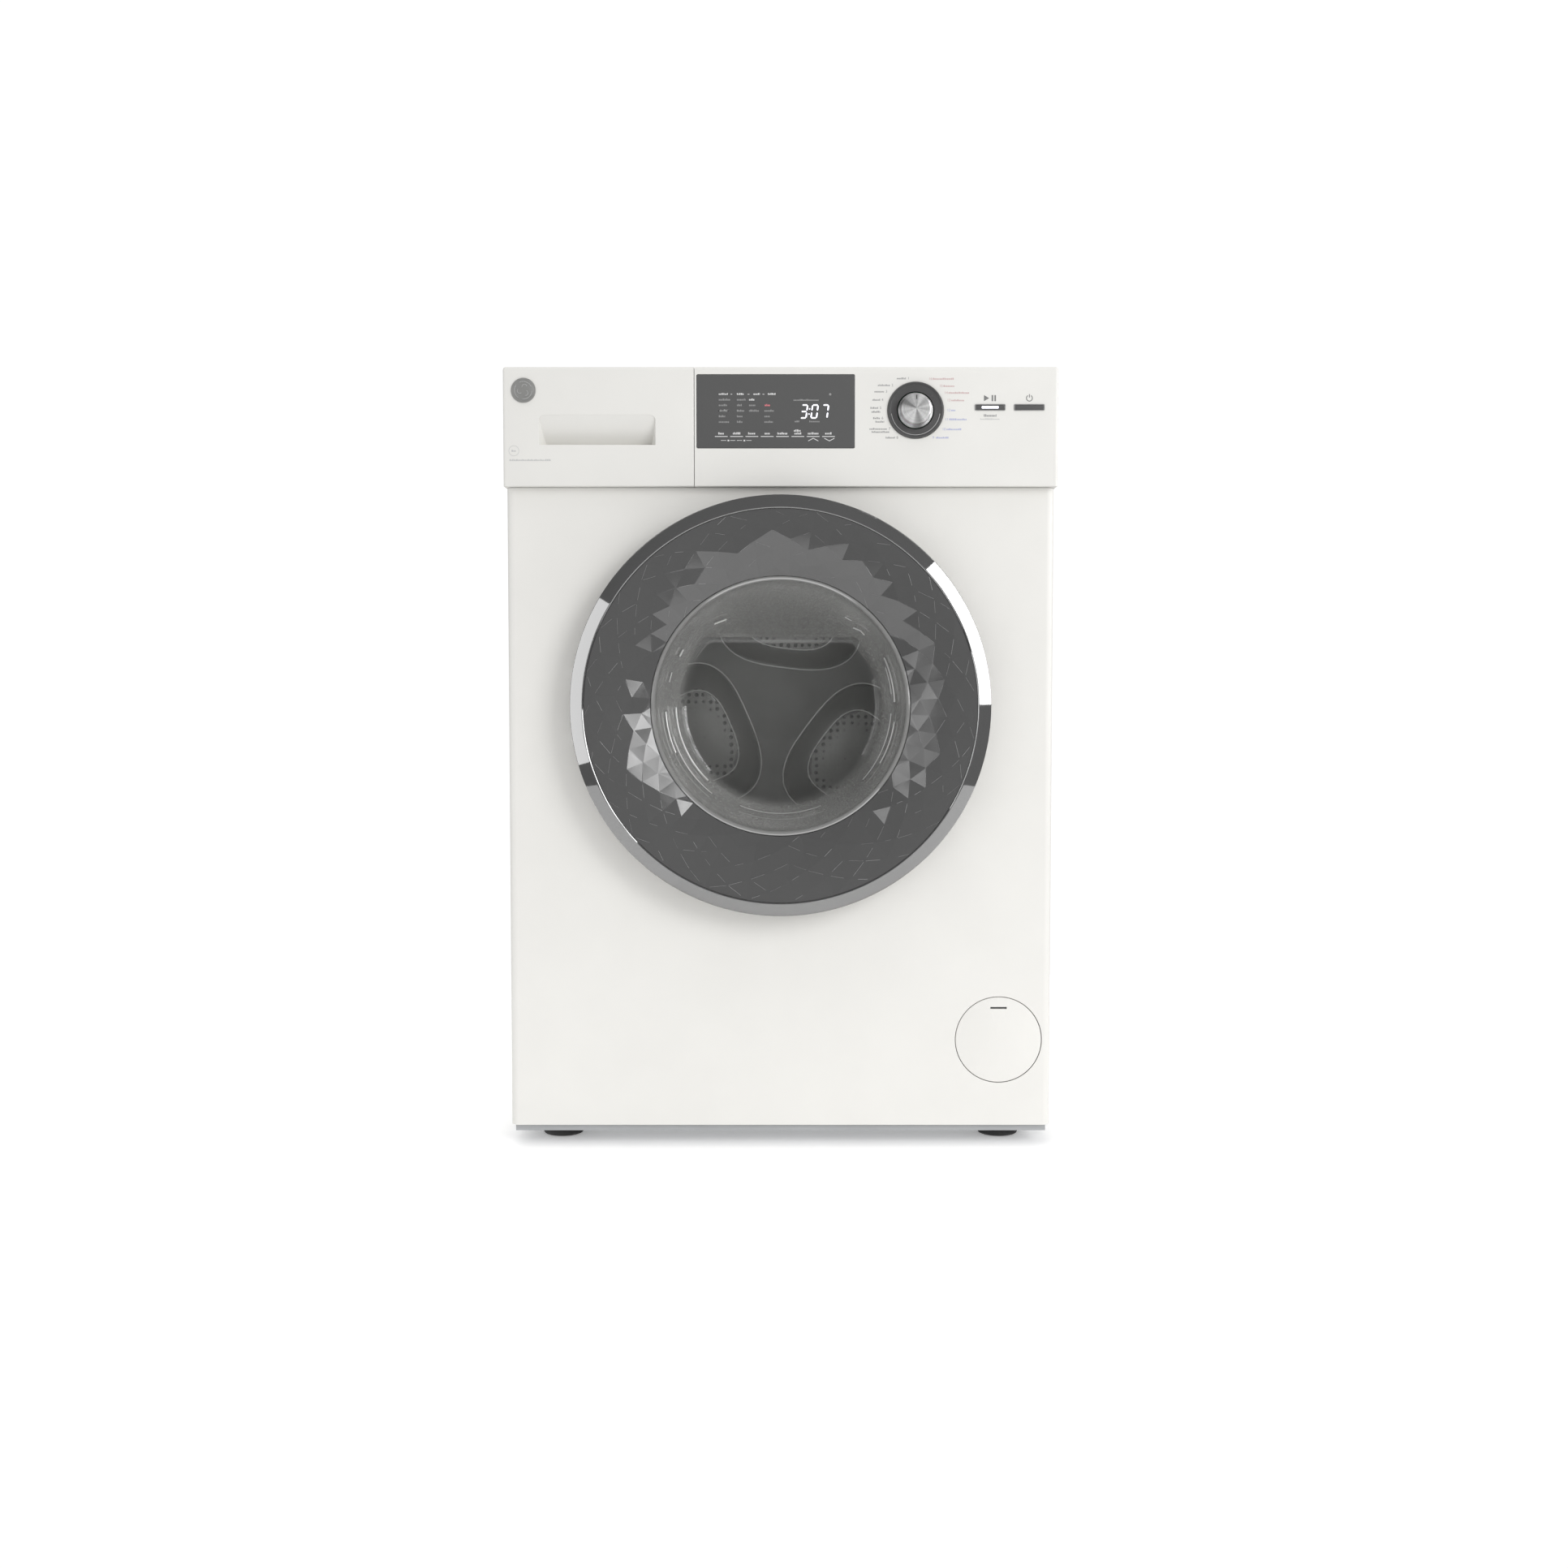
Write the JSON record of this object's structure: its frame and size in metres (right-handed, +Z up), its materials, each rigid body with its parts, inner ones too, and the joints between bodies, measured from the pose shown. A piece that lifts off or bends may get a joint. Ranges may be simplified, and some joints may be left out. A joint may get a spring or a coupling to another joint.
{
  "type": "front load washing machine",
  "caption": "Compact front load washer, white cabinet, round door with faceted dark bezel, glass bowl, drawer, display and dial.",
  "frame": {"origin": "on the floor, under the middle of the machine's box, feet screwed fully in", "axes": "+Z up, -Y out of the front, +X to the right as seen from the front"},
  "size_m": [0.595, 0.645, 0.845],
  "materials": {
    "white_enamel": "satin",
    "white_plastic": "satin",
    "dark_gloss": "polished",
    "dark_plastic": "matte",
    "grey_plastic": "matte",
    "blue_plastic": "satin",
    "clear_glass": "polished",
    "stainless": "brushed",
    "brushed_metal": "brushed",
    "zinc_steel": "satin",
    "cast_metal": "matte",
    "grey_rubber": "matte",
    "black_rubber": "matte",
    "concrete": "rough",
    "circuit_board": "satin"
  },
  "bodies": {
    "cabinet": {"cabinet_wrap": "white_enamel", "base_pan": "grey_plastic", "front_panel": "white_enamel", "worktop": "white_plastic", "rear_cover": "white_enamel", "console_fascia": "white_plastic", "display_window": "dark_gloss", "control_board": "circuit_board", "dial_bezel": "dark_gloss", "dispenser_housing": "grey_plastic", "hinge_bracket": "zinc_steel", "hinge_pin": "zinc_steel", "door_lock": "dark_plastic", "door_gasket": "grey_rubber", "tub_front": "grey_plastic", "tub_rear": "grey_plastic", "front_counterweight": "concrete", "top_counterweight": "concrete", "heater": "stainless", "bearing_front": "zinc_steel", "bearing_rear": "zinc_steel", "drive_belt": "black_rubber", "motor": "zinc_steel", "spring_left": "zinc_steel", "spring_right": "zinc_steel", "damper_left": "dark_plastic", "damper_right": "dark_plastic", "pump_housing": "grey_plastic", "sump_hose": "black_rubber", "fill_hose": "black_rubber", "inlet_valve": "white_plastic", "drain_outlet": "grey_plastic", "mains_gland": "dark_plastic"},
    "door": {"door_trim_ring": "dark_gloss", "door_lens_dish": "dark_gloss", "door_glass": "clear_glass", "door_back_frame": "grey_plastic", "door_hinge_arm": "cast_metal"},
    "latch_hook": {"door_hook": "zinc_steel"},
    "drawer": {"drawer_front": "white_plastic", "drawer_tray": "white_plastic", "siphon_cap": "blue_plastic"},
    "knob": {"program_knob": "brushed_metal"},
    "start_key": {"start_button": "dark_gloss"},
    "power_key": {"power_button": "dark_gloss"},
    "drum": {"drum_shell": "stainless", "baffle_1": "grey_plastic", "baffle_2": "grey_plastic", "baffle_3": "grey_plastic", "drum_spider": "cast_metal", "drum_shaft": "stainless", "drum_pulley": "cast_metal"},
    "motor_rotor": {"motor_pulley": "stainless"},
    "impeller": {"pump_impeller": "grey_plastic"},
    "filter": {"filter_cap": "dark_plastic"},
    "access_flap": {"pump_cover": "white_enamel"},
    "front_left_foot": {"foot_front_left": "black_rubber"},
    "front_right_foot": {"foot_front_right": "black_rubber"},
    "rear_left_foot": {"foot_rear_left": "black_rubber"},
    "rear_right_foot": {"foot_rear_right": "black_rubber"}
  },
  "joints": [
    {"name": "door_swing", "type": "hinge", "parent": "cabinet", "child": "door", "pos_m": [-0.2191, -0.2925, 0.482], "axis": [0, 0, -1], "range_deg": [0, 135]},
    {"name": "hook_pivot", "type": "hinge", "parent": "door", "child": "latch_hook", "pos_m": [0.19, -0.2764, 0.482], "axis": [0, 0, 1], "range_deg": [0, 6], "stiffness_Nm_per_rad": 0.4},
    {"name": "drawer_slide", "type": "slide", "parent": "cabinet", "child": "drawer", "axis": [0, -1, 0], "range_m": [0, 0.19]},
    {"name": "knob_turn", "type": "hinge", "parent": "cabinet", "child": "knob", "pos_m": [0.1446, -0.2865, 0.7987], "axis": [0, -1, 0], "continuous": true},
    {"name": "start_press", "type": "slide", "parent": "cabinet", "child": "start_key", "axis": [0, 1, 0], "range_m": [0, 0.0015], "stiffness_N_per_m": 600},
    {"name": "power_press", "type": "slide", "parent": "cabinet", "child": "power_key", "axis": [0, 1, 0], "range_m": [0, 0.0015], "stiffness_N_per_m": 600},
    {"name": "drum_spin", "type": "hinge", "parent": "cabinet", "child": "drum", "pos_m": [0, 0, 0.482], "axis": [0, 1, 0], "continuous": true},
    {"name": "motor_spin", "type": "hinge", "parent": "cabinet", "child": "motor_rotor", "pos_m": [0.06, 0.22, 0.15], "axis": [0, 1, 0], "continuous": true},
    {"name": "impeller_spin", "type": "hinge", "parent": "cabinet", "child": "impeller", "pos_m": [0.2358, -0.15, 0.1166], "axis": [0, -1, 0], "continuous": true},
    {"name": "filter_turn", "type": "hinge", "parent": "cabinet", "child": "filter", "pos_m": [0.2358, -0.2545, 0.1166], "axis": [0, -1, 0], "range_deg": [0, 180]},
    {"name": "flap_swing", "type": "hinge", "parent": "cabinet", "child": "access_flap", "pos_m": [0.2388, -0.2757, 0.0716], "axis": [1, 0, 0], "range_deg": [0, 90]},
    {"name": "foot_front_left_screw", "type": "slide", "parent": "cabinet", "child": "front_left_foot", "axis": [0, 0, -1], "range_m": [0, 0.012]},
    {"name": "foot_rear_left_screw", "type": "slide", "parent": "cabinet", "child": "rear_left_foot", "axis": [0, 0, -1], "range_m": [0, 0.012]},
    {"name": "foot_front_right_screw", "type": "slide", "parent": "cabinet", "child": "front_right_foot", "axis": [0, 0, -1], "range_m": [0, 0.012]},
    {"name": "foot_rear_right_screw", "type": "slide", "parent": "cabinet", "child": "rear_right_foot", "axis": [0, 0, -1], "range_m": [0, 0.012]}
  ],
  "couplings": [
    {"joint": "motor_spin", "follows": "drum_spin", "ratio": 10.769}
  ]
}
